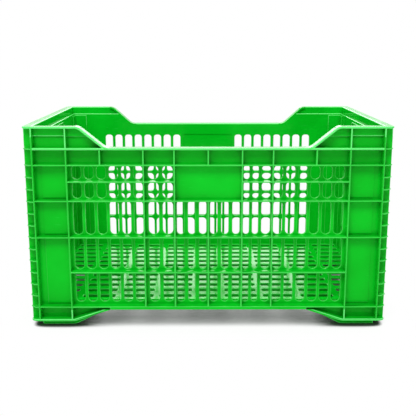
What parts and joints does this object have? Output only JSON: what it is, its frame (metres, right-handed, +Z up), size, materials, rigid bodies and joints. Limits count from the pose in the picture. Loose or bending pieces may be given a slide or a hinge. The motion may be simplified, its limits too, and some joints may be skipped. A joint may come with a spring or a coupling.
{
  "type": "plastic harvest crate",
  "caption": "Open-top ventilated stacking crate with slotted ribbed walls, dipped long rims, hand holes in the short walls, a grid floor and corner feet.",
  "frame": {"origin": "centre of the footprint, on the plane under the locating bosses of the feet", "axes": "+X along the long walls, +Y from the front wall to the back wall, +Z up"},
  "size_m": [0.545, 0.36, 0.31],
  "materials": {
    "green_plastic": "glossy injection-moulded polyethylene, bright green through and through"
  },
  "bodies": {
    "root": {"back_dip_rim": "green_plastic", "back_label_panel": "green_plastic", "back_left_corner_ladder": "green_plastic", "back_left_corner_panel": "green_plastic", "back_left_shoulder": "green_plastic", "back_left_stacking_foot": "green_plastic", "back_rib_frame": "green_plastic", "back_right_corner_ladder": "green_plastic", "back_right_corner_panel": "green_plastic", "back_right_shoulder": "green_plastic", "back_right_stacking_foot": "green_plastic", "back_wall_panel": "green_plastic", "floor_grid": "green_plastic", "floor_ribs": "green_plastic", "front_dip_rim": "green_plastic", "front_label_panel": "green_plastic", "front_left_corner_ladder": "green_plastic", "front_left_corner_panel": "green_plastic", "front_left_shoulder": "green_plastic", "front_left_stacking_foot": "green_plastic", "front_rib_frame": "green_plastic", "front_right_corner_ladder": "green_plastic", "front_right_corner_panel": "green_plastic", "front_right_shoulder": "green_plastic", "front_right_stacking_foot": "green_plastic", "front_wall_panel": "green_plastic", "left_back_corner_panel": "green_plastic", "left_front_corner_panel": "green_plastic", "left_hand_grip": "green_plastic", "left_rib_frame": "green_plastic", "left_rim": "green_plastic", "left_wall_panel": "green_plastic", "right_back_corner_panel": "green_plastic", "right_front_corner_panel": "green_plastic", "right_hand_grip": "green_plastic", "right_rib_frame": "green_plastic", "right_rim": "green_plastic", "right_wall_panel": "green_plastic"}
  },
  "joints": []
}
